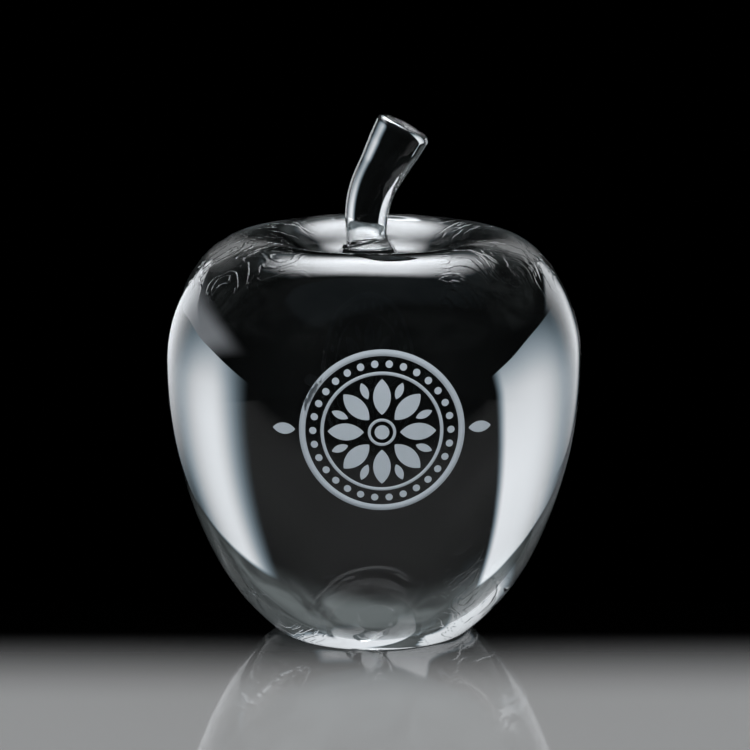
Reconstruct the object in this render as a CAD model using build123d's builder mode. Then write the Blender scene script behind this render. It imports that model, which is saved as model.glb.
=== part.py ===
from build123d import *
from math import cos, radians, sin
import os

# Clear glass apple worked by hand: a solid apple, a foot of hot glass in its dimple and a bent stem on the foot.
# An ornament is etched on the front. Millimetres, +Z up, and the front faces -Y.
# The origin is the centre of the flat base on which the apple stands.

# Outline of the apple, from its base up, as tangent arcs
belly_radius = 44.45
base_flat_radius = 19.1
base_edge_radius = 3.0
upper_flank_radius = 94.5
shoulder_radius = 33.5
rim_radius = 14.4
flare_angle = 38.9
flank_angle = 63.9
shoulder_angle = 130.7

# Dimple round the stem
dimple_depth = 6.0
dimple_floor_margin = 1.9
dimple_roll_share = 0.6

# Polished hollow in the base where the rod that held the hot glass was broken off
pontil_radius = 4.0
pontil_depth = 0.5

# Foot of the stem
foot_offset = -1.2
foot_radius = 6.5
foot_bead_radius = 1.4
foot_flare_angle = 31.0
foot_height = 4.7
seam_tilt = 14.5

# Stem
stem_neck_width = 8.5
stem_end_width = 12.4
stem_rise = 4.0
stem_bend_radius = 21.4
stem_lean = 28.0
stem_reach = 12.2
stem_end_round = 1.6
stem_flatness_share = 0.92
stem_seat_offset = -0.35

# Etched ornament
etch_depth = 0.4
medallion_radius = 17.0
medallion_offset = 1.7
medallion_height = 53.0
outer_ring_width = 1.3
inner_ring_width = 0.7
centre_ring_width = 0.6
centre_radius = 1.5
bead_diameter = 1.5
ornament_gap = 0.8
petal_width = 3.6
dart_length = 3.6
dart_width = 1.6
lozenge_length = 4.6
lozenge_width = 2.4
bead_count = 30
petal_count = 8
lozenge_count = 2

# Angles at which the outline stands upright and lies level again at the top
upright_angle = 90.0
level_angle = 180.0

# Sizes that follow from the ones above
lower_flank_radius = (
    belly_radius
    - base_flat_radius
    - base_edge_radius * sin(radians(flare_angle))
    - upper_flank_radius * (1 - sin(radians(flank_angle)))
) / (sin(radians(flank_angle)) - sin(radians(flare_angle)))
dimple_floor_radius = foot_radius + abs(foot_offset) + dimple_floor_margin


def facing_front(x, y, z):
    """The upright plane through a point that faces the front, its own Y axis up."""
    return Plane(origin=(x, y, z), x_dir=(1, 0, 0), z_dir=(0, -1, 0))


def turn(line, radius, first_angle, last_angle):
    """A tangent arc that goes on from a line and turns from one angle to the other."""
    return JernArc(line @ 1, line % 1, radius, last_angle - first_angle)


# The apple before its ornament and its pontil hollow
with BuildPart() as blank:
    with BuildSketch(Plane.XZ):
        with BuildLine():
            base = Line((0, 0), (base_flat_radius, 0))
            base_edge = turn(base, base_edge_radius, 0, flare_angle)
            lower_flank = turn(base_edge, lower_flank_radius, flare_angle, flank_angle)
            upper_flank = turn(lower_flank, upper_flank_radius, flank_angle, upright_angle)
            shoulder = turn(upper_flank, shoulder_radius, upright_angle, shoulder_angle)
            rim = turn(shoulder, rim_radius, shoulder_angle, level_angle)
            rim_top = rim @ 1
            dimple_width = rim_top.X - dimple_floor_radius
            dimple_slope = 2 * Vector(dimple_width, dimple_depth, 0).get_angle(Vector(1, 0, 0))
            dimple_radii = dimple_width / sin(radians(dimple_slope))
            roll = turn(rim, dimple_radii * dimple_roll_share, 0, dimple_slope)
            bowl = turn(roll, dimple_radii * (1 - dimple_roll_share), dimple_slope, 0)
            floor_height = (bowl @ 1).Y
            dimple_floor = Line(bowl @ 1, (0, floor_height))
            Line(dimple_floor @ 1, (0, 0))
        make_face()
    revolve(axis=Axis.Z)

# Seat of the stem: a tilted plane that cuts the foot and carries the stem
seam_plane = Plane(
    origin=(foot_offset, 0, floor_height + foot_height),
    x_dir=(cos(radians(seam_tilt)), 0, sin(radians(seam_tilt))),
    z_dir=(-sin(radians(seam_tilt)), 0, cos(radians(seam_tilt))),
)

# Foot of the stem: a bit of hot glass set in the dimple, with a rounded edge, drawn up towards the stem
with BuildPart() as stem_foot:
    with BuildSketch(facing_front(foot_offset, 0, floor_height)):
        with BuildLine():
            underside = Line((0, 0), (foot_radius - foot_bead_radius, 0))
            bead_edge = turn(underside, foot_bead_radius, 0, upright_angle + foot_flare_angle)
            flare = PolarLine(bead_edge @ 1, foot_height, direction=bead_edge % 1)
            Line(flare @ 1, (0, (flare @ 1).Y))
            Line((0, (flare @ 1).Y), (0, 0))
        make_face()
    revolve(axis=Axis((foot_offset, 0, 0), (0, 0, 1)))
    split(bisect_by=seam_plane, keep=Keep.BOTTOM)

# Line through the middle of the stem: up from the foot, then over to the right
stem_start = seam_plane.from_local_coords(Vector(stem_seat_offset, 0, 0))
with BuildLine(Plane.XZ):
    stem_up = Line((stem_start.X, stem_start.Z), (stem_start.X, stem_start.Z + stem_rise))
    stem_bend = JernArc(stem_up @ 1, stem_up % 1, stem_bend_radius, -stem_lean)
    stem_out = PolarLine(stem_bend @ 1, stem_reach, direction=stem_bend % 1)

# Where the stem is measured: a stretch of its line, the share of the way along it, and the share of its swelling
stem_shares = [
    (stem_up, 0.9, 0.06),
    (stem_bend, 0.35, 0.14),
    (stem_bend, 0.75, 0.30),
    (stem_out, 0.1, 0.55),
    (stem_out, 0.45, 0.82),
    (stem_out, 1.0, 1.0),
]

# Stem: a thick rod of glass, a little flat from front to back, that swells towards its cut and fire-polished end
with BuildPart() as stem:
    with BuildSketch(seam_plane.move(Location((stem_seat_offset, 0, 0)))):
        Ellipse(stem_neck_width / 2, stem_neck_width * stem_flatness_share / 2)
    for stretch, way_share, swell_share in stem_shares:
        direction = stretch % way_share
        width = stem_neck_width + (stem_end_width - stem_neck_width) * swell_share
        section = Plane(stretch @ way_share, x_dir=Vector(0, 1, 0).cross(direction), z_dir=direction)
        with BuildSketch(section):
            Ellipse(width / 2, width * stem_flatness_share / 2)
    loft()
    fillet(stem.faces().sort_by(Axis.Z)[-1].edges(), stem_end_round)

# Circles on which the ornament is set out, from its rim inwards
medallion_plane = facing_front(medallion_offset, -belly_radius, medallion_height)
bead_circle_radius = medallion_radius - outer_ring_width - ornament_gap - bead_diameter / 2
inner_ring_radius = bead_circle_radius - bead_diameter / 2 - ornament_gap
petal_tip_radius = inner_ring_radius - inner_ring_width - ornament_gap
centre_ring_radius = centre_radius + ornament_gap + centre_ring_width
petal_root_radius = centre_ring_radius + ornament_gap
petal_length = petal_tip_radius - petal_root_radius

with BuildSketch(medallion_plane) as ring_pattern:
    Circle(medallion_radius)
    Circle(medallion_radius - outer_ring_width, mode=Mode.SUBTRACT)
    Circle(inner_ring_radius)
    Circle(inner_ring_radius - inner_ring_width, mode=Mode.SUBTRACT)

with BuildSketch(medallion_plane) as bead_pattern:
    with PolarLocations(bead_circle_radius, bead_count):
        Circle(bead_diameter / 2)


def pointed_leaf(length, width):
    """A leaf pointed at both ends, its root at the origin and its tip on +X."""
    with BuildSketch() as leaf:
        with BuildLine():
            edge = ThreePointArc((0, 0), (length / 2, width / 2), (length, 0))
            mirror(edge, about=Plane.XZ)
        make_face()
    return leaf.sketch


with BuildSketch(medallion_plane) as rosette_pattern:
    with PolarLocations(petal_root_radius, petal_count):
        add(pointed_leaf(petal_length, petal_width))
    with PolarLocations(petal_tip_radius - dart_length, petal_count, start_angle=level_angle / petal_count):
        add(pointed_leaf(dart_length, dart_width))
    Circle(centre_ring_radius)
    Circle(centre_ring_radius - centre_ring_width, mode=Mode.SUBTRACT)
    Circle(centre_radius)

with BuildSketch(medallion_plane) as lozenge_pattern:
    with PolarLocations(medallion_radius + ornament_gap, lozenge_count):
        add(pointed_leaf(lozenge_length, lozenge_width))


def etched(pattern):
    """The frosted skin that a pattern leaves on the front of the apple."""
    with BuildPart() as skin:
        extrude(pattern.sketch, amount=-belly_radius)
        add(blank.part, mode=Mode.INTERSECT)
        add(blank.part.moved(Location((0, etch_depth, 0))), mode=Mode.SUBTRACT)
    return skin


etched_rings = etched(ring_pattern)
etched_beads = etched(bead_pattern)
etched_rosette = etched(rosette_pattern)
etched_lozenges = etched(lozenge_pattern)

# Apple: the solid blank with its ornament cut in and its pontil hollow ground out
pontil_sphere_radius = (pontil_radius**2 + pontil_depth**2) / (2 * pontil_depth)
with BuildPart() as apple_body:
    add(blank.part)
    for skin in (etched_rings, etched_beads, etched_rosette, etched_lozenges):
        add(skin.part, mode=Mode.SUBTRACT)
    with Locations((0, 0, pontil_depth - pontil_sphere_radius)):
        Sphere(pontil_sphere_radius, mode=Mode.SUBTRACT)

# Names and files
pieces = {
    "apple_body": apple_body,
    "stem_foot": stem_foot,
    "stem": stem,
    "etched_rings": etched_rings,
    "etched_beads": etched_beads,
    "etched_rosette": etched_rosette,
    "etched_lozenges": etched_lozenges,
}
os.makedirs("parts", exist_ok=True)
for piece_name, piece in pieces.items():
    piece.part.label = piece_name
    export_step(piece.part, f"parts/{piece_name}.step")
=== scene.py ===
from math import atan2, ceil, cos, hypot, pi, radians, sin, sqrt, tan

import bmesh
import bpy
import numpy as np
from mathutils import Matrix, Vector, noise


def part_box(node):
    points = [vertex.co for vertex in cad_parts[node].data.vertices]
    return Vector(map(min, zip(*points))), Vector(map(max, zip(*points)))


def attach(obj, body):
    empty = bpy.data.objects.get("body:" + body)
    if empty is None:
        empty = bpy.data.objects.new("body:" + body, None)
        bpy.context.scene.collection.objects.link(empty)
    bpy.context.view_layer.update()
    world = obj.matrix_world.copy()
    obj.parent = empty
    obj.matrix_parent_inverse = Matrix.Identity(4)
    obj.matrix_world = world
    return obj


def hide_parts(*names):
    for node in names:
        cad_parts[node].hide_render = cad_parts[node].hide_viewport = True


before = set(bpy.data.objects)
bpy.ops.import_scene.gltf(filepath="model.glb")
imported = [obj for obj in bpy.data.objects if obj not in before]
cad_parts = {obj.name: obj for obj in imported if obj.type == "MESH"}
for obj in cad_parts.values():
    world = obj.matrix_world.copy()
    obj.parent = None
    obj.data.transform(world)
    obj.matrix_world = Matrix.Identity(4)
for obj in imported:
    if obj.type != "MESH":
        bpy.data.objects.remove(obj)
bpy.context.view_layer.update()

# A clear glass apple worked by hand, its stem and foot, and the ornament etched on its front.
# Metres. The front faces -Y, +Z is up, and the origin is the centre of the base.
MM = 0.001

# Sizes of the apple's outline, from its base up, as tangent arcs
belly_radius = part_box("apple_body")[1].x
body_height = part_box("apple_body")[1].z
base_flat_radius = 19.1 * MM
base_edge_radius = 3.0 * MM
upper_flank_radius = 94.5 * MM
shoulder_radius = 33.5 * MM
rim_radius = 14.4 * MM
flare_angle = radians(38.9)
flank_angle = radians(63.9)
shoulder_angle = radians(130.7)
dimple_depth = 6.0 * MM
dimple_floor_margin = 1.9 * MM
dimple_roll_share = 0.6
pontil_radius = 4.0 * MM
pontil_depth = 0.5 * MM

# Sizes of the foot and the stem
foot_offset = -1.2 * MM
foot_radius = 6.5 * MM
foot_bead_radius = 1.4 * MM
foot_flare_angle = radians(31.0)
foot_height = 4.7 * MM
seam_tilt = radians(14.5)
stem_neck_width = 8.5 * MM
stem_end_width = 12.4 * MM
stem_rise = 4.0 * MM
stem_bend_radius = 21.4 * MM
stem_lean = radians(28.0)
stem_reach = 12.2 * MM
stem_end_round = 1.6 * MM
stem_flatness_share = 0.92
stem_seat_offset = -0.35 * MM

# Sizes of the etched ornament
etch_depth = 0.4 * MM
etch_proud = 0.03 * MM
medallion_radius = 17.0 * MM
medallion_offset = 1.7 * MM
medallion_height = 53.0 * MM
outer_ring_width = 1.3 * MM
inner_ring_width = 0.7 * MM
centre_ring_width = 0.6 * MM
centre_radius = 1.5 * MM
bead_diameter = 1.5 * MM
ornament_gap = 0.8 * MM
petal_width = 3.6 * MM
dart_length = 3.6 * MM
dart_width = 1.6 * MM
lozenge_length = 4.6 * MM
lozenge_width = 2.4 * MM
bead_count = 30
petal_count = 8
lozenge_count = 2

# Sizes that follow
lower_flank_radius = (
    belly_radius
    - base_flat_radius
    - base_edge_radius * sin(flare_angle)
    - upper_flank_radius * (1 - sin(flank_angle))
) / (sin(flank_angle) - sin(flare_angle))
belly_height = (
    base_edge_radius * (1 - cos(flare_angle))
    + lower_flank_radius * (cos(flare_angle) - cos(flank_angle))
    + upper_flank_radius * cos(flank_angle)
)
dimple_floor_height = body_height - dimple_depth
dimple_floor_radius = foot_radius + abs(foot_offset) + dimple_floor_margin
contact_radius = foot_radius - foot_bead_radius
bead_circle_radius = medallion_radius - outer_ring_width - ornament_gap - bead_diameter / 2
inner_ring_radius = bead_circle_radius - bead_diameter / 2 - ornament_gap
petal_tip_radius = inner_ring_radius - inner_ring_width - ornament_gap
centre_ring_radius = centre_radius + ornament_gap + centre_ring_width
petal_root_radius = centre_ring_radius + ornament_gap

# Looks of the clear glass: cords streak its colour, smears dull its polish, and ripples are left by the tools
glass_ior = 1.5
cord_noise = {"Scale": 55.0, "Detail": 2.0, "Distortion": 1.5}
cord_colours = [(0.985, 0.992, 0.995, 1.0), (0.998, 1.0, 1.0, 1.0)]
smear_noise = {"Scale": 140.0, "Detail": 4.0}
smear_roughness = 0.012
body_ripple_noise = {"Scale": 90.0, "Detail": 1.0}
foot_ripple_noise = {"Scale": 240.0, "Detail": 1.0}
stem_ripple_noise = {"Scale": 200.0, "Detail": 1.0}
ripple_height = 0.02 * MM

# Folds round the top of the apple: thin lines in patches, and the lows and highs between which they set in
fold_height = 0.06 * MM
fold_line_noise = {"Scale": 85.0, "Detail": 2.0, "Distortion": 2.2}
fold_line_level = 0.52
fold_line_spread = 0.05
fold_patch_noise = {"Scale": 38.0, "Detail": 0.0}
fold_patch_levels = (0.30, 0.46)
fold_levels_aside = (11 * MM, 18 * MM)
fold_levels_up = (75 * MM, 80 * MM)
fold_levels_out = (14 * MM, 20 * MM)

# Looks of the etching
frost_grain_noise = {"Scale": 5000.0, "Detail": 3.0}
frost_cloud_noise = {"Scale": 260.0, "Detail": 3.0}
frost_grain_share = 0.5
frost_colours = [(0.33, 0.38, 0.425, 1.0), (0.46, 0.52, 0.575, 1.0)]
frost_least_roughness = 0.55
frost_grain_roughness = 0.25
frost_relief_depth = 0.02 * MM
frost_relief_strength = 0.6
frost_clearness = 0.12


class Wire:
    """A socket that carries a value through a node tree. Arithmetic on it adds Math nodes."""

    def __init__(self, maker, socket):
        self.maker = maker
        self.socket = socket

    def __add__(self, other):
        return self.maker.math("ADD", self, other)

    def __radd__(self, other):
        return self.maker.math("ADD", other, self)

    def __sub__(self, other):
        return self.maker.math("SUBTRACT", self, other)

    def __rsub__(self, other):
        return self.maker.math("SUBTRACT", other, self)

    def __mul__(self, other):
        return self.maker.math("MULTIPLY", self, other)

    def __rmul__(self, other):
        return self.maker.math("MULTIPLY", other, self)

    def __truediv__(self, other):
        return self.maker.math("DIVIDE", self, other)

    def __rtruediv__(self, other):
        return self.maker.math("DIVIDE", other, self)

    def __neg__(self):
        return self.maker.math("MULTIPLY", self, -1.0)

    def root(self):
        return self.maker.math("SQRT", self)

    def part(self, name):
        """Another output of the same node."""
        return Wire(self.maker, self.socket.node.outputs[name])


class NodeMaker:
    """Adds nodes to one tree."""

    def __init__(self, tree):
        self.tree = tree

    def node(self, kind, settings=None, inputs=None, output=0):
        """A node of that kind, with its settings made first and then its sockets filled or linked."""
        made = self.tree.nodes.new(kind)
        for name, value in (settings or {}).items():
            setattr(made, name, value)
        for name, value in (inputs or {}).items():
            self.feed(made.inputs[name], value)
        return Wire(self, made.outputs[output]) if made.outputs else made

    def feed(self, socket, value):
        if isinstance(value, Wire):
            self.tree.links.new(value.socket, socket)
        else:
            socket.default_value = value

    def math(self, operation, *values):
        return self.node("ShaderNodeMath", {"operation": operation}, dict(enumerate(values)))

    def ramp(self, value, low, high):
        """0 below low, 1 above high, and smooth between."""
        return self.node(
            "ShaderNodeMapRange",
            {"interpolation_type": "SMOOTHSTEP"},
            {"Value": value, "From Min": low, "From Max": high},
        )

    def split(self, vector):
        """The three coordinates of a vector."""
        parts = self.node("ShaderNodeSeparateXYZ", {}, {0: vector})
        return parts.part("X"), parts.part("Y"), parts.part("Z")

    def noise_at(self, place, pattern):
        return self.node("ShaderNodeTexNoise", {}, {"Vector": place, **pattern})

    def colour_between(self, share, first, second):
        """The first colour where the share is 0, and the second where it is 1."""
        return self.node("ShaderNodeMix", {"data_type": "RGBA"}, {0: share, 6: first, 7: second}, output=2)

    def bump(self, height, strength=1.0, distance=1.0):
        return self.node("ShaderNodeBump", {}, {"Strength": strength, "Distance": distance, "Height": height})

    def joined(self, pieces):
        both = self.node("GeometryNodeJoinGeometry", {}, {0: pieces[0]})
        for piece in pieces[1:]:
            self.feed(both.socket.node.inputs[0], piece)
        return both


def new_material(name):
    """An empty material, the maker of its nodes and the wire of its object's coordinates."""
    material = bpy.data.materials.new(name)
    material.use_nodes = True
    material.node_tree.nodes.clear()
    maker = NodeMaker(material.node_tree)
    return material, maker, maker.node("ShaderNodeTexCoord").part("Object")


def finish_material(material, maker, shader):
    maker.node("ShaderNodeOutputMaterial", {}, {"Surface": shader})
    return material


def new_object(name, data):
    made = bpy.data.objects.new(name, data)
    bpy.context.scene.collection.objects.link(made)
    return made


def clear_glass(name, ripple_noise, folded=False):
    """Hand-worked clear glass, with folds where it was closed by tools."""
    material, maker, place = new_material(name)
    relief = maker.noise_at(place, ripple_noise) * ripple_height
    if folded:
        relief = relief + shoulder_folds(maker, place) * fold_height
    shader = maker.node(
        "ShaderNodeBsdfPrincipled",
        {},
        {
            "Base Color": maker.colour_between(maker.noise_at(place, cord_noise), *cord_colours),
            "Roughness": maker.noise_at(place, smear_noise) * smear_roughness,
            "IOR": glass_ior,
            "Transmission Weight": 1.0,
            "Normal": maker.bump(relief),
        },
    )
    return finish_material(material, maker, shader)


def shoulder_folds(maker, place):
    """Thin wandering ridges on the left and right of the shoulder, none in the dimple or on the sides."""
    across, back, up = maker.split(place)
    out = (across * across + back * back).root()
    aside = maker.math("ABSOLUTE", across)
    where = maker.ramp(up, *fold_levels_up) * maker.ramp(out, *fold_levels_out)
    where = where * maker.ramp(aside, *fold_levels_aside)
    off_line = maker.math("ABSOLUTE", maker.noise_at(place, fold_line_noise) - fold_line_level)
    patches = maker.noise_at(place, fold_patch_noise)
    return where * (1 - maker.ramp(off_line, 0.0, fold_line_spread)) * maker.ramp(patches, *fold_patch_levels)


def fused_seam():
    """Where hot glass is fused to hot glass: light crosses it unbent."""
    material, maker, _ = new_material("fused_seam")
    shader = maker.node(
        "ShaderNodeBsdfPrincipled",
        {},
        {"Base Color": (1.0, 1.0, 1.0, 1.0), "Roughness": 0.0, "IOR": 1.0, "Transmission Weight": 1.0},
    )
    return finish_material(material, maker, shader)


def frosted_etching():
    """Glass blasted with fine sand: a pale, matt, slightly blue grain that lets some light through."""
    material, maker, place = new_material("frosted_etching")
    grain = maker.noise_at(place, frost_grain_noise)
    clouds = maker.noise_at(place, frost_cloud_noise)
    mottle = grain * frost_grain_share + clouds * (1 - frost_grain_share)
    shader = maker.node(
        "ShaderNodeBsdfPrincipled",
        {},
        {
            "Base Color": maker.colour_between(mottle, *frost_colours),
            "Roughness": frost_least_roughness + grain * frost_grain_roughness,
            "IOR": glass_ior,
            "Transmission Weight": frost_clearness,
            "Normal": maker.bump(grain, frost_relief_strength, frost_relief_depth),
        },
    )
    return finish_material(material, maker, shader)


def ring_of(count, centre, across, half_width, half_depth):
    """One ring of points: an ellipse round a centre, its width along across and its depth along Y."""
    angles = np.arange(count) * 2 * pi / count
    return (
        np.asarray(centre)
        + np.outer(np.cos(angles) * half_width, np.asarray(across))
        + np.outer(np.sin(angles) * half_depth, np.asarray((0, 1, 0)))
    )


def level_ring(count, centre, radius):
    """One ring of points: a level circle."""
    return ring_of(count, centre, (1, 0, 0), radius, radius)


def lofted(name, rings, first_pole, last_pole, materials, seam_rings=()):
    """A closed mesh object through rings of points, with a pole at each end.
    seam_rings are the bands of faces, by the index of their first ring, that take the second material.
    Band -1 is the fan at the first pole and the last band is the fan at the last pole."""
    count = len(rings[0])
    last = len(rings) - 1
    points = [Vector(first_pole)] + [Vector(p) for ring in rings for p in ring] + [Vector(last_pole)]
    faces, slots = [], []

    def at(ring, step):
        return 1 + ring * count + step % count

    for step in range(count):
        faces.append((0, at(0, step + 1), at(0, step)))
        slots.append(int(-1 in seam_rings))
    for ring in range(last):
        for step in range(count):
            faces.append((at(ring, step), at(ring, step + 1), at(ring + 1, step + 1), at(ring + 1, step)))
            slots.append(int(ring in seam_rings))
    for step in range(count):
        faces.append((at(last, step), at(last, step + 1), len(points) - 1))
        slots.append(int(last in seam_rings))
    mesh = bpy.data.meshes.new(name)
    for material in materials:
        mesh.materials.append(material)
    mesh.from_pydata(points, [], faces)
    mesh.polygons.foreach_set("use_smooth", [True] * len(faces))
    mesh.polygons.foreach_set("material_index", slots)
    mesh.update()
    return new_object(name, mesh)


def walked(start, arcs, step):
    """Points along tangent arcs, each given by its radius and its first and last direction."""
    points = [start]
    for radius, first, last in arcs:
        across, up = points[-1]
        side = 1 if last > first else -1
        count = ceil(radius * abs(last - first) / step)
        for index in range(1, count + 1):
            angle = first + (last - first) * index / count
            points.append(
                (
                    across + side * radius * (sin(angle) - sin(first)),
                    up + side * radius * (cos(first) - cos(angle)),
                )
            )
    return points


def smooth_step(value, low, high):
    share = min(max((value - low) / (high - low), 0.0), 1.0)
    return share * share * (3 - 2 * share)


# Apple: its slow waves, the quicker ones on top, and the lows and highs between which they set in
ring_points = 256
outline_step = 0.75 * MM
slow_wave_height = 0.05 * MM
slow_wave_length = 26 * MM
slow_wave_start = Vector((3.1, 7.7, 1.3))
top_wave_height = 0.16 * MM
top_wave_length = 11 * MM
top_wave_start = Vector((9.2, 0.4, 5.5))
wave_levels_up = (2 * MM, 14 * MM)
wave_levels_from_foot = (7 * MM, 13 * MM)
top_wave_levels_up = (62 * MM, 80 * MM)


def outline_arcs():
    dimple_width = (
        belly_radius
        - shoulder_radius * (1 - sin(shoulder_angle))
        - rim_radius * sin(shoulder_angle)
        - dimple_floor_radius
    )
    slope = 2 * atan2(dimple_depth, dimple_width)
    dimple_radii = dimple_width / sin(slope)
    return [
        (base_edge_radius, 0.0, flare_angle),
        (lower_flank_radius, flare_angle, flank_angle),
        (upper_flank_radius, flank_angle, pi / 2),
        (shoulder_radius, pi / 2, shoulder_angle),
        (rim_radius, shoulder_angle, pi),
        (dimple_radii * dimple_roll_share, pi, pi + slope),
        (dimple_radii * (1 - dimple_roll_share), pi + slope, pi),
    ]


def hand_waves(point):
    """How far the hand-worked surface stands off the true outline at a point."""
    from_foot = hypot(point.x - foot_offset, point.y)
    calm = smooth_step(point.z, *wave_levels_up)
    if point.z > dimple_floor_height - MM:
        calm *= smooth_step(from_foot, *wave_levels_from_foot)
    top = smooth_step(point.z, *top_wave_levels_up)
    slow = noise.noise(point / slow_wave_length + slow_wave_start)
    quick = noise.noise(point / top_wave_length + top_wave_start)
    return calm * (slow * slow_wave_height + top * quick * top_wave_height)


def apple_body(materials):
    base_rings = 10
    pontil_rings = 6
    floor_rings = 6
    contact_rings = 3
    sphere_radius = (pontil_radius**2 + pontil_depth**2) / (2 * pontil_depth)
    outline = []
    for index in range(1, pontil_rings + 1):
        radius = pontil_radius * index / pontil_rings
        outline.append((radius, pontil_depth - sphere_radius + sqrt(sphere_radius**2 - radius**2)))
    for index in range(1, base_rings):
        outline.append((pontil_radius + (base_flat_radius - pontil_radius) * index / base_rings, 0.0))
    outline += walked((base_flat_radius, 0.0), outline_arcs(), outline_step)
    rings = [level_ring(ring_points, (0, 0, up), radius) for radius, up in outline]
    normals = []
    for index in range(len(outline)):
        before = outline[max(index - 1, 0)]
        after = outline[min(index + 1, len(outline) - 1)]
        normals.append(Vector((after[1] - before[1], 0, before[0] - after[0])).normalized())
    for ring, normal in zip(rings, normals):
        for point in ring:
            place = Vector(point)
            outward = Vector((place.x, place.y, 0)).normalized()
            move = hand_waves(place)
            point += np.array(outward * normal.x * move + Vector((0, 0, normal.z * move)))
    for index in range(1, floor_rings + 1):
        share = index / floor_rings
        radius = dimple_floor_radius + (contact_radius - dimple_floor_radius) * share
        rings.append(level_ring(ring_points, (foot_offset * share, 0, dimple_floor_height), radius))
    first_contact = len(rings) - 1
    middle = (foot_offset, 0, dimple_floor_height)
    for index in range(1, contact_rings + 1):
        rings.append(level_ring(ring_points, middle, contact_radius * (1 - index / (contact_rings + 1))))
    seam_rings = range(first_contact, len(rings))
    return lofted("apple_of_glass", rings, (0, 0, pontil_depth), middle, materials, seam_rings)


# Foot of the stem. The inner share is that of the ring inside the edge of the fused seam.
foot_points = 128
seam_inner_share = 0.5


def stem_base(share):
    """The middle of the seam on which the stem stands, and its ring drawn in by a share."""
    across = Vector((cos(seam_tilt), 0, sin(seam_tilt)))
    centre = Vector((foot_offset, 0, dimple_floor_height + foot_height)) + across * stem_seat_offset
    half = stem_neck_width / 2 * share
    return centre, ring_of(foot_points, centre, across, half, half * stem_flatness_share)


def stem_foot(materials):
    flare_rings = 14
    ledge_rings = 5
    bead_step = 0.15 * MM
    bead = walked((contact_radius, 0.0), [(foot_bead_radius, 0.0, pi / 2 + foot_flare_angle)], bead_step)
    rings = [
        level_ring(foot_points, (foot_offset, 0, dimple_floor_height + up), radius) for radius, up in bead
    ]
    bead_radius, bead_up = bead[-1]
    start = rings[-1]
    brink = []
    for index in range(foot_points):
        angle = index * 2 * pi / foot_points
        slope = tan(seam_tilt) * cos(angle)
        climb = cos(foot_flare_angle) + slope * sin(foot_flare_angle)
        rise = (foot_height + slope * bead_radius - bead_up) / climb
        radius = bead_radius - rise * sin(foot_flare_angle)
        brink.append(
            (
                foot_offset + radius * cos(angle),
                radius * sin(angle),
                dimple_floor_height + bead_up + rise * cos(foot_flare_angle),
            )
        )
    brink = np.array(brink)
    for index in range(1, flare_rings + 1):
        rings.append(start + (brink - start) * index / flare_rings)
    centre, inner = stem_base(1.0)
    for index in range(1, ledge_rings + 1):
        rings.append(brink + (inner - brink) * index / ledge_rings)
    rings.append(stem_base(seam_inner_share)[1])
    seam_rings = (-1, len(rings) - 2, len(rings) - 1)
    underside = (foot_offset, 0, dimple_floor_height)
    return lofted("foot_of_the_stem", rings, underside, centre, materials, seam_rings)


# Stem. It swells by these shares of its extra width at these shares of its length.
stem_length = stem_rise + stem_bend_radius * stem_lean + stem_reach
stem_settle_share = 0.12
stem_end_disc_shares = (0.8, 0.6, 0.4, 0.2)
stem_swell_shares = [
    (0.0, 0.0),
    (0.13, 0.12),
    (0.30, 0.26),
    (0.48, 0.38),
    (0.62, 0.50),
    (0.80, 0.80),
    (1.0, 1.0),
]


def stem_place(share, start):
    """Middle, direction and half width of the stem at a share of its length."""
    bend_length = stem_bend_radius * stem_lean
    run = share * stem_length
    rise = min(run, stem_rise)
    turned = min(max(run - stem_rise, 0.0), bend_length) / stem_bend_radius
    out = max(run - stem_rise - bend_length, 0.0)
    middle = Vector(
        (
            start.x + stem_bend_radius * (1 - cos(turned)) + out * sin(stem_lean),
            0,
            start.z + rise + stem_bend_radius * sin(turned) + out * cos(stem_lean),
        )
    )
    swell = np.interp(share, *zip(*stem_swell_shares))
    width = stem_neck_width + (stem_end_width - stem_neck_width) * swell
    return middle, turned, width / 2


def stem(materials):
    side_rings = 64
    round_rings = 10
    start, base_ring = stem_base(1.0)
    rings = [stem_base(seam_inner_share)[1], base_ring]
    round_share = stem_end_round / stem_length
    for index in range(1, side_rings + 1):
        share = (1 - round_share) * index / side_rings
        middle, turned, half = stem_place(share, start)
        tilt = turned - seam_tilt * (1 - smooth_step(share, 0.0, stem_settle_share))
        across = Vector((cos(tilt), 0, -sin(tilt)))
        rings.append(ring_of(foot_points, middle, across, half, half * stem_flatness_share))
    for index in range(1, round_rings + 1):
        angle = pi / 2 * index / round_rings
        share = 1 - round_share * (1 - sin(angle))
        middle, turned, half = stem_place(share, start)
        half -= stem_end_round * (1 - cos(angle))
        across = Vector((cos(turned), 0, -sin(turned)))
        depth = half * stem_flatness_share
        rings.append(ring_of(foot_points, middle, across, half, depth))
    for shrink in stem_end_disc_shares:
        rings.append(ring_of(foot_points, middle, across, half * shrink, depth * shrink))
    return lofted("stem_of_glass", rings, start, middle, materials, seam_rings=(-1, 0))


# Etched ornament. Two points of it are one where they are as near as this.
plate_weld = 0.002 * MM
leaf_weld = 0.005 * MM


def front_depth(x, z):
    """How far towards the front the apple's surface stands at a place on its front."""
    radius = upper_flank_radius if z < belly_height else shoulder_radius
    around = belly_radius - radius + sqrt(radius**2 - (z - belly_height) ** 2)
    return sqrt(around**2 - x**2)


def geometry_tree(name, sizes):
    """The maker of a geometry tree with one named input for each size, and the wires of those inputs."""
    tree = bpy.data.node_groups.new(name, "GeometryNodeTree")
    tree.interface.new_socket("Geometry", in_out="OUTPUT", socket_type="NodeSocketGeometry")
    for size, value in sizes.items():
        kind = "NodeSocketInt" if isinstance(value, int) else "NodeSocketFloat"
        tree.interface.new_socket(size, in_out="INPUT", socket_type=kind)
    maker = NodeMaker(tree)
    given = maker.node("NodeGroupInput")
    return maker, {size: given.part(size) for size in sizes}


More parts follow.
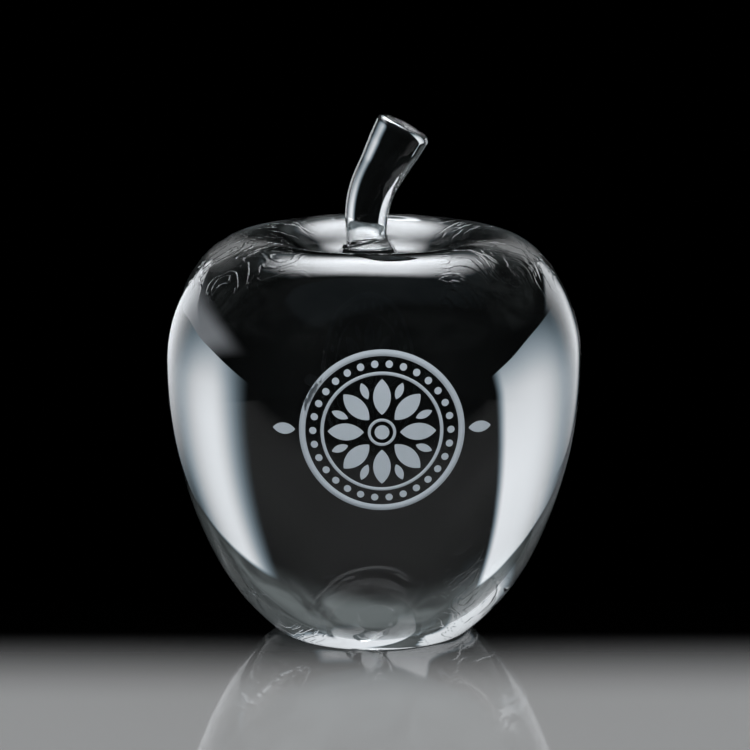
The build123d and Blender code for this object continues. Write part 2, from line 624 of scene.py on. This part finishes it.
def grown(name, maker, sizes, material, shape):
    """The mesh object that a geometry tree's shape gives for these sizes."""
    whole = maker.node("GeometryNodeRealizeInstances", {}, {0: shape})
    coated = maker.node("GeometryNodeSetMaterial", {}, {0: whole, "Material": material})
    maker.node("NodeGroupOutput", {}, {0: coated})
    carrier = new_object(name + "_carrier", bpy.data.meshes.new(name + "_carrier"))
    modifier = carrier.modifiers.new("ornament", "NODES")
    modifier.node_group = maker.tree
    for item in maker.tree.interface.items_tree:
        if item.in_out == "INPUT" and item.name in sizes:
            modifier[item.identifier] = sizes[item.name]
    bpy.context.view_layer.update()
    evaluated = carrier.evaluated_get(bpy.context.evaluated_depsgraph_get())
    mesh = bpy.data.meshes.new_from_object(evaluated)
    bpy.data.objects.remove(carrier)
    mesh.name = name
    return new_object(name, mesh)


def leaf_wire(maker, length, width, depth):
    """A leaf pointed at both ends, lying in the XZ plane with its root at the origin, as a thick plate."""
    cells_along, cells_across = 25, 9
    sheet = maker.node(
        "GeometryNodeMeshGrid",
        {},
        {"Size X": 1.0, "Size Y": 1.0, "Vertices X": cells_along, "Vertices Y": cells_across},
    )
    along, across, _ = maker.split(maker.node("GeometryNodeInputPosition"))
    half = width / 2
    arc_radius = (length * length / 4 + half * half) / width
    chord = along * length
    edge = (arc_radius * arc_radius - chord * chord).root() - (arc_radius - half)
    shaped = maker.node(
        "ShaderNodeCombineXYZ", {}, {"X": chord + length / 2, "Y": 0.0, "Z": across * edge * 2.0}
    )
    flat = maker.node("GeometryNodeSetPosition", {}, {0: sheet, "Position": shaped})
    merged = maker.node("GeometryNodeMergeByDistance", {}, {0: flat, "Distance": leaf_weld})
    return thick_plate(maker, merged, depth)


def thick_plate(maker, flat, depth):
    """A flat patch in the XZ plane given thickness towards +Y, closed all round."""
    back = maker.node("ShaderNodeCombineXYZ", {}, {"Y": depth})
    raised = maker.node(
        "GeometryNodeExtrudeMesh",
        {"mode": "FACES"},
        {0: flat, "Offset": back, "Offset Scale": 1.0, "Individual": False},
    )
    front = maker.node("GeometryNodeFlipFaces", {}, {0: flat})
    both = maker.joined([raised, front])
    return maker.node("GeometryNodeMergeByDistance", {}, {0: both, "Distance": plate_weld})


def stood_up(maker, plate, depth):
    """A plate made lying level, stood up in the XZ plane with its front on it."""
    turned = maker.node("GeometryNodeTransform", {}, {0: plate, "Rotation": (pi / 2, 0, 0)})
    shift = maker.node("ShaderNodeCombineXYZ", {}, {"Y": depth / 2})
    return maker.node("GeometryNodeTransform", {}, {0: turned, "Translation": shift})


def disc_wire(maker, radius, depth, sides):
    """A round plate in the XZ plane."""
    rod = maker.node(
        "GeometryNodeMeshCylinder",
        {"fill_type": "TRIANGLE_FAN"},
        {"Vertices": sides, "Side Segments": 1, "Fill Segments": 2, "Radius": radius, "Depth": depth},
    )
    return stood_up(maker, rod, depth)


def ring_wire(maker, radius, width, depth, steps):
    """A flat ring in the XZ plane, radius to its outer edge."""
    circle = {"Resolution": steps, "Radius": radius - width / 2}
    path = maker.node("GeometryNodeCurvePrimitiveCircle", {}, circle)
    section = maker.node("GeometryNodeCurvePrimitiveQuadrilateral", {}, {"Width": width, "Height": depth})
    return stood_up(maker, maker.node("GeometryNodeCurveToMesh", {}, {0: path, 1: section}), depth)


def set_round(maker, piece, radius, count, first_angle):
    """Copies of a piece set out round a circle in the XZ plane, each turned to point outwards."""
    points = maker.node("GeometryNodePoints", {}, {"Count": count})
    index = maker.node("GeometryNodeInputIndex")
    angle = index / count * (2 * pi) + first_angle
    across = maker.math("COSINE", angle) * radius
    up = maker.math("SINE", angle) * radius
    place = maker.node("ShaderNodeCombineXYZ", {}, {"X": across, "Z": up})
    placed = maker.node("GeometryNodeSetPosition", {}, {0: points, "Position": place})
    turn = maker.node("ShaderNodeCombineXYZ", {}, {"Y": -angle})
    return maker.node("GeometryNodeInstanceOnPoints", {}, {0: placed, "Instance": piece, "Rotation": turn})


def wrapped(piece, materials):
    """Bends a flat ornament onto the front of the apple, a hair proud of the glass.
    Its front takes the first material, and its sides and back, inside the glass, take the second."""
    front_limit = -0.5
    piece.data.materials.clear()
    for material in materials:
        piece.data.materials.append(material)
    bm = bmesh.new()
    bm.from_mesh(piece.data)
    bmesh.ops.remove_doubles(bm, verts=bm.verts, dist=plate_weld)
    bmesh.ops.recalc_face_normals(bm, faces=bm.faces)
    bm.normal_update()
    for face in bm.faces:
        face.material_index = int(face.normal.y > front_limit)
    for vertex in bm.verts:
        x = vertex.co.x + medallion_offset
        z = vertex.co.z + medallion_height
        vertex.co = (x, vertex.co.y - etch_proud - front_depth(x, z), z)
    bm.to_mesh(piece.data)
    bm.free()
    return piece


def etched(name, maker, sizes, shape, materials):
    """The piece that a geometry tree's shape leaves on the front of the apple."""
    return wrapped(grown(name, maker, sizes, materials[0], shape), materials)


def etched_rings(materials):
    sizes = {
        "Outer radius": medallion_radius,
        "Outer width": outer_ring_width,
        "Inner radius": inner_ring_radius,
        "Inner width": inner_ring_width,
        "Depth": etch_depth,
        "Steps": 180,
    }
    maker, size = geometry_tree("rings_of_the_medallion", sizes)
    outer = ring_wire(maker, size["Outer radius"], size["Outer width"], size["Depth"], size["Steps"])
    inner = ring_wire(maker, size["Inner radius"], size["Inner width"], size["Depth"], size["Steps"])
    return etched("frosted_rings", maker, sizes, maker.joined([outer, inner]), materials)


def etched_beads(materials):
    sizes = {
        "Circle": bead_circle_radius,
        "Bead radius": bead_diameter / 2,
        "Depth": etch_depth,
        "Beads": bead_count,
        "Sides": 24,
    }
    maker, size = geometry_tree("circle_of_beads", sizes)
    bead = disc_wire(maker, size["Bead radius"], size["Depth"], size["Sides"])
    circle = set_round(maker, bead, size["Circle"], size["Beads"], 0.0)
    return etched("frosted_beads", maker, sizes, circle, materials)


def etched_rosette(materials):
    sizes = {
        "Petal root": petal_root_radius,
        "Petal length": petal_tip_radius - petal_root_radius,
        "Petal width": petal_width,
        "Dart root": petal_tip_radius - dart_length,
        "Dart length": dart_length,
        "Dart width": dart_width,
        "Centre radius": centre_radius,
        "Centre ring radius": centre_ring_radius,
        "Centre ring width": centre_ring_width,
        "Depth": etch_depth,
        "Petals": petal_count,
        "Sides": 48,
    }
    maker, size = geometry_tree("rosette_of_leaves", sizes)
    depth, sides = size["Depth"], size["Sides"]
    petal = leaf_wire(maker, size["Petal length"], size["Petal width"], depth)
    dart = leaf_wire(maker, size["Dart length"], size["Dart width"], depth)
    petals = set_round(maker, petal, size["Petal root"], size["Petals"], 0.0)
    darts = set_round(maker, dart, size["Dart root"], size["Petals"], pi / petal_count)
    centre = disc_wire(maker, size["Centre radius"], depth, sides)
    ring = ring_wire(maker, size["Centre ring radius"], size["Centre ring width"], depth, sides)
    return etched("frosted_rosette", maker, sizes, maker.joined([petals, darts, centre, ring]), materials)


def etched_lozenges(materials):
    sizes = {
        "Root": medallion_radius + ornament_gap,
        "Length": lozenge_length,
        "Width": lozenge_width,
        "Depth": etch_depth,
        "Lozenges": lozenge_count,
    }
    maker, size = geometry_tree("side_lozenges", sizes)
    lozenge = leaf_wire(maker, size["Length"], size["Width"], size["Depth"])
    pair = set_round(maker, lozenge, size["Root"], size["Lozenges"], 0.0)
    return etched("frosted_lozenges", maker, sizes, pair, materials)


def stand_for(piece, node):
    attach(piece, "root")
    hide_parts(node)


body_glass = clear_glass("clear_glass_of_the_apple", body_ripple_noise, folded=True)
foot_glass = clear_glass("clear_glass_of_the_foot", foot_ripple_noise)
stem_glass = clear_glass("clear_glass_of_the_stem", stem_ripple_noise)
seam = fused_seam()
frost = frosted_etching()

stand_for(apple_body((body_glass, seam)), "apple_body")
stand_for(stem_foot((foot_glass, seam)), "stem_foot")
stand_for(stem((stem_glass, seam)), "stem")
stand_for(etched_rings((frost, seam)), "etched_rings")
stand_for(etched_beads((frost, seam)), "etched_beads")
stand_for(etched_rosette((frost, seam)), "etched_rosette")
stand_for(etched_lozenges((frost, seam)), "etched_lozenges")

# Stage: a pale floor, its colour graded to black towards and beneath the apple as painted shade and far in
# front as a painted fall-off of light, a dark bench that the glass alone sees behind it, with a painted sheen
# along its right side, a dark room and softboxes. A fade is the pair of places between which something sets
# in.
floor_gap = 0.04 * MM
floor_thickness = 4 * MM
floor_edge_round = 0.05 * MM
floor_outline = [(-0.25, -0.60), (0.25, -0.60), (0.25, 0.02), (-0.25, 0.02)]
floor_colour = (0.47, 0.47, 0.47, 1.0)
floor_roughness = 0.05
floor_gloss = 0.5
# Painted light on the floor: black towards and beneath the apple as painted shade, and darker far in front as
# a painted fall-off of light.
floor_painted_falloff_share = 0.06
floor_painted_falloff_fade = (-0.160, -0.100)
floor_painted_shade_fade = (-0.060, -0.004)
bench_drop = 1 * MM
bench_thickness = 20 * MM
bench_edge_round = 1 * MM
bench_outline = [(-0.073, 0.02), (0.094, 0.02), (0.17, 1.2), (-0.157, 1.2)]
bench_colour = (0.0, 0.0, 0.0, 1.0)
# Painted sheen: the bench's grey band along the near end of its right side stands in for the right softbox's
# light on it.
bench_painted_sheen_colour = (0.22, 0.23, 0.245, 1.0)
bench_painted_sheen_slant = 0.10
bench_painted_sheen_fade = (0.045, 0.068)
bench_painted_sheen_back_fade = (0.15, 0.21)
slab_edge_segments = 4

# Cloth of the softboxes: its colour where it glows faintly and fully, and how it brightens upwards
faint_cloth_colour = (0.62, 0.84, 1.0, 1.0)
full_cloth_colour = (0.925, 0.96, 1.0, 1.0)
cloth_colour_fade = (0.0, 0.75)
cloth_rise_fade = (0.0, 0.6)

# Room: the light of its front on matt surfaces, and what the camera and the glass see of it and of the ceiling
front_light = 1.45
front_glow = 0.04
front_fade = (-0.1, 0.5)
ceiling_glow = 0.10
ceiling_fade = (0.26, 0.42)
ceiling_front_share = 0.35
ceiling_back_fade = (-0.3, 0.2)
ceiling_noise = {"Scale": 3.5, "Detail": 2.0, "Distortion": 0.8}
ceiling_noise_fade = (0.35, 0.65)
ceiling_dimmest = 0.45
ceiling_variation = 1.1
plain_colour = (1.0, 1.0, 1.0, 1.0)
room_colour = (0.86, 0.98, 1.0, 1.0)


def slab(name, outline, top, thickness, edge_round, material):
    """A flat slab with a rounded upper edge, for the stage."""
    mesh = bpy.data.meshes.new(name)
    bm = bmesh.new()
    upper = bm.faces.new([bm.verts.new((x, y, top)) for x, y in outline])
    lower = bmesh.ops.extrude_face_region(bm, geom=[upper])
    for item in lower["geom"]:
        if isinstance(item, bmesh.types.BMVert):
            item.co.z -= thickness
    bmesh.ops.recalc_face_normals(bm, faces=bm.faces)
    rim = [line for line in bm.edges if all(corner.co.z > top - thickness / 2 for corner in line.verts)]
    bmesh.ops.bevel(
        bm, geom=rim, offset=edge_round, segments=slab_edge_segments, profile=0.5, affect="EDGES"
    )
    bm.to_mesh(mesh)
    bm.free()
    mesh.materials.append(material)
    made = new_object(name, mesh)
    return made


def floor_finish_with_painted_shade():
    """A pale floor, polished, its colour graded to black towards and beneath the apple as painted shade, and
    far in front of it as a painted fall-off of light.
    """
    material, maker, place = new_material("pale_floor")
    _, back, _ = maker.split(place)
    # Painted fall-off of light far in front and painted shade towards and beneath the apple: the floor is pale
    # only in a band between them.
    front = floor_painted_falloff_share + (1 - floor_painted_falloff_share) * maker.ramp(back, *floor_painted_falloff_fade)
    pale = (1 - maker.ramp(back, *floor_painted_shade_fade)) * front
    shader = maker.node(
        "ShaderNodeBsdfPrincipled",
        {},
        {
            "Base Color": maker.colour_between(pale, bench_colour, floor_colour),
            "Roughness": floor_roughness,
            "Specular IOR Level": floor_gloss,
        },
    )
    return finish_material(material, maker, shader)


def dark_bench_finish_with_painted_sheen():
    """A black, matt bench that turns grey along the near end of its right side: a painted sheen of the right
    softbox's light.
    """
    material, maker, place = new_material("dark_bench")
    across, back, _ = maker.split(place)
    # Painted sheen of the right softbox's light along the near end of the right side.
    aside = maker.ramp(across - back * bench_painted_sheen_slant, *bench_painted_sheen_fade)
    grey = aside * (1 - maker.ramp(back, *bench_painted_sheen_back_fade))
    colour = maker.colour_between(grey, bench_colour, bench_painted_sheen_colour)
    shader = maker.node(
        "ShaderNodeBsdfPrincipled", {}, {"Base Color": colour, "Roughness": 1.0, "Specular IOR Level": 0.0}
    )
    return finish_material(material, maker, shader)


def softbox(
    name, azimuth, elevation, distance, size, glow, feather, low_share=1.0, roll=0.0, foot_share=1.0
):
    """A rectangular glowing cloth aimed at the middle of the apple, fading out towards its edges.
    Its azimuth runs from straight behind the apple towards the right, and it rolls over to the right. Its size
    is its width and height. Its glow is plain on matt surfaces, and has a level of its own seen through the
    glass and one as a gleam on the glass's skin. The feather is the share of its width or height over which it
    fades at each edge, as seen from the camera. The low share is how much of its glow is left low down, and
    the foot share is how much of its width is left at its lower edge."""
    cloth, maker, place = new_material(name + "_cloth")
    across, up, _ = maker.split(place.part("UV"))
    rising = maker.ramp(up, *cloth_rise_fade)
    across = (across - 0.5) / (foot_share + (1 - foot_share) * rising) + 0.5
    path = maker.node("ShaderNodeLightPath")
    inside = path.part("Is Transmission Ray")
    skin = (1 - inside) * path.part("Is Glossy Ray")
    plain = glow["plain"]
    level = plain + inside * (glow["inside"] - plain) + skin * (glow["skin"] - plain)
    level = level * (low_share + (1 - low_share) * rising)
    for edge, inward in {"right": 1 - across, "left": across, "lower": up, "upper": 1 - up}.items():
        level = level * maker.ramp(inward, 0.0, feather[edge])
    fullness = maker.ramp(level, *cloth_colour_fade)
    colour = maker.colour_between(fullness, faint_cloth_colour, full_cloth_colour)
    light = maker.node("ShaderNodeEmission", {}, {"Color": colour, "Strength": level})
    gauze = maker.node("ShaderNodeBsdfTransparent")
    glowing_gauze = maker.node("ShaderNodeAddShader", {}, {0: light, 1: gauze})
    away = Vector((sin(azimuth) * cos(elevation), cos(azimuth) * cos(elevation), sin(elevation)))
    level_right = Vector((cos(azimuth), -sin(azimuth), 0))
    level_up = level_right.cross(away)
    right = (level_right * cos(roll) - level_up * sin(roll)) * size[0]
    upward = (level_up * cos(roll) + level_right * sin(roll)) * size[1]
    middle = Vector((0, 0, belly_height)) + away * distance
    shares = [(0, 0), (1, 0), (1, 1), (0, 1)]
    mesh = bpy.data.meshes.new(name)
    mesh.from_pydata([middle + right * (u - 0.5) + upward * (v - 0.5) for u, v in shares], [], [(0, 1, 2, 3)])
    layer = mesh.uv_layers.new(name="cloth")
    for corner, share in zip(layer.data, shares):
        corner.uv = share
    mesh.materials.append(finish_material(cloth, maker, glowing_gauze))
    made = new_object(name, mesh)
    made.visible_camera = False


def studio_world():
    """Plain even light from the front for matt surfaces. The camera and the glass see the dark room behind,
    with a faint glow of its ceiling."""
    world = bpy.data.worlds.new("studio")
    bpy.context.scene.world = world
    world.use_nodes = True
    world.node_tree.nodes.clear()
    maker = NodeMaker(world.node_tree)
    way = maker.node("ShaderNodeTexCoord").part("Generated")
    _, back, up = maker.split(way)
    path = maker.node("ShaderNodeLightPath")
    seen = maker.math("MAXIMUM", path.part("Is Camera Ray"), path.part("Is Glossy Ray"))
    seen = maker.math("MAXIMUM", seen, path.part("Is Transmission Ray"))
    front = maker.ramp(-back, *front_fade)
    clouds = maker.ramp(maker.noise_at(way, ceiling_noise), *ceiling_noise_fade)
    behind = ceiling_front_share + (1 - ceiling_front_share) * maker.ramp(back, *ceiling_back_fade)
    ceiling = maker.ramp(up, *ceiling_fade) * behind * (ceiling_dimmest + ceiling_variation * clouds)
    level = front * front_light * (1 - seen) + (front * front_glow + ceiling * ceiling_glow) * seen
    tint = maker.colour_between(seen, plain_colour, room_colour)
    light = maker.node("ShaderNodeBackground", {}, {"Color": tint, "Strength": level})
    maker.node("ShaderNodeOutputWorld", {}, {"Surface": light})


slab("floor", floor_outline, -floor_gap, floor_thickness, floor_edge_round, floor_finish_with_painted_shade())
bench = slab("dark_bench", bench_outline, -bench_drop, bench_thickness, bench_edge_round, dark_bench_finish_with_painted_sheen())
bench.visible_camera = False
softbox(
    "left_softbox",
    azimuth=radians(-44),
    elevation=radians(-8),
    distance=0.42,
    size=(0.335, 0.39),
    glow={"plain": 0.8, "inside": 0.88, "skin": 2.4},
    feather={"right": 0.07, "left": 0.78, "lower": 0.45, "upper": 0.04},
    low_share=0.2,
    roll=radians(-14),
)
softbox(
    "right_softbox",
    azimuth=radians(43.5),
    elevation=radians(-9),
    distance=0.42,
    size=(0.33, 0.385),
    glow={"plain": 0.8, "inside": 0.88, "skin": 2.2},
    feather={"right": 0.70, "left": 0.29, "lower": 0.60, "upper": 0.04},
    low_share=0.25,
)
softbox(
    "top_softbox",
    azimuth=0.0,
    elevation=radians(60),
    distance=0.42,
    size=(0.62, 0.50),
    glow={"plain": 0.7, "inside": 0.15, "skin": 11.5},
    feather={"right": 0.44, "left": 0.46, "lower": 0.45, "upper": 0.25},
    low_share=0.85,
    foot_share=0.36,
)
softbox(
    "front_softbox",
    azimuth=radians(158),
    elevation=radians(72),
    distance=0.50,
    size=(1.10, 0.39),
    glow={"plain": 0.8, "inside": 0.85, "skin": 0.1},
    feather={"right": 0.08, "left": 0.2, "lower": 0.22, "upper": 0.1},
)
studio_world()

# Camera
camera_distance = 20 * belly_radius
camera_elevation = radians(15.3)
aim_height = 1.254 * belly_radius
focal_length_mm = 195.83
frame_shift = 0.0018
camera_data = bpy.data.cameras.new("camera")
camera_data.sensor_width = 36.0
camera_data.lens = focal_length_mm
camera_data.shift_x = frame_shift
camera_data.clip_start = 0.01
camera = new_object("camera", camera_data)
camera.location = (0, -camera_distance * cos(camera_elevation), camera_distance * sin(camera_elevation))
camera.rotation_euler = (Vector((0, 0, aim_height)) - camera.location).to_track_quat("-Z", "Y").to_euler()
bpy.context.scene.camera = camera
bpy.context.scene.view_settings.view_transform = "Standard"
bpy.context.scene.cycles.max_bounces = 20
bpy.context.scene.cycles.glossy_bounces = 12
bpy.context.scene.cycles.transmission_bounces = 16
